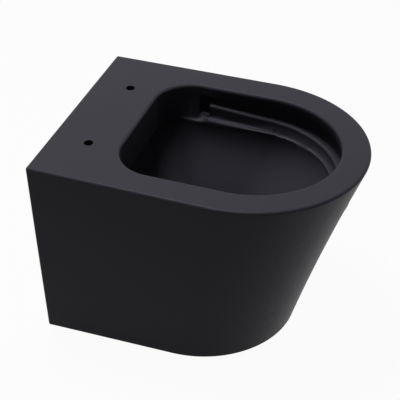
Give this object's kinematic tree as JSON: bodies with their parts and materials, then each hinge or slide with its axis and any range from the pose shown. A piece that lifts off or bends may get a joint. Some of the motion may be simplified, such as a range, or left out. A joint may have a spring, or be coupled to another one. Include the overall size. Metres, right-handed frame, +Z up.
{
  "type": "wall hung toilet",
  "caption": "Wall hung ceramic toilet pan with a D-shaped rimless bowl, hidden trapway and its wall fixings.",
  "frame": {"origin": "midpoint of the two wall studs, on the plane of the finished wall", "axes": "+Z up, +Y into the wall along the studs, +X to the right when facing the wall"},
  "size_m": [0.3594, 0.5133, 0.337],
  "materials": {
    "black_ceramic": "matt glaze",
    "zinc_steel": "zinc plated",
    "white_plastic": "moulded",
    "black_rubber": "matt",
    "grey_plastic": "moulded"
  },
  "bodies": {
    "root": {"pan_body": "black_ceramic", "wall_studs": "zinc_steel", "stud_sleeves": "white_plastic", "plastic_washers": "white_plastic", "steel_washers": "zinc_steel", "stud_nuts": "zinc_steel", "nut_caps": "white_plastic", "inlet_seal": "black_rubber", "flow_divider": "grey_plastic"}
  },
  "joints": []
}
